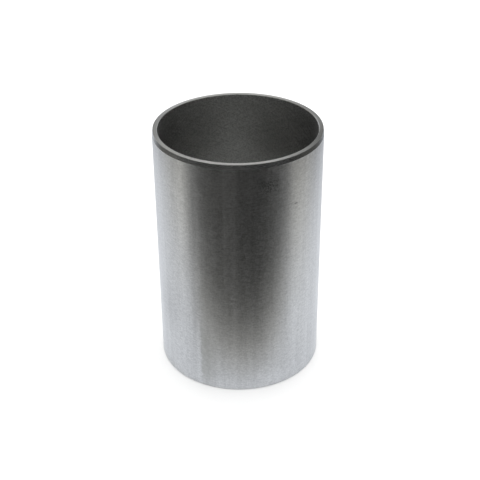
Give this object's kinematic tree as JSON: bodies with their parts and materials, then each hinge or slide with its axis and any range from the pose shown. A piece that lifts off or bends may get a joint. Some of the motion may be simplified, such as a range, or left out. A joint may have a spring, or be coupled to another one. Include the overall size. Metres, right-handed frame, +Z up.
{
  "type": "cylinder liner",
  "caption": "Thin plain cylindrical sleeve, ground outside and honed inside, with a steep lead-in chamfer round one end; lines an engine's cylinder bore.",
  "frame": {"origin": "centre of the square end face, the foot that the sleeve stands on", "axes": "+Z up along the bore towards the lead-in end; +X and +Y are free, because the sleeve is round"},
  "size_m": [0.0917, 0.0916, 0.1415],
  "materials": {
    "liner_iron": "bright ground outside, turned end faces, honed bore"
  },
  "bodies": {
    "root": {"cylinder_liner": "liner_iron"}
  },
  "joints": []
}
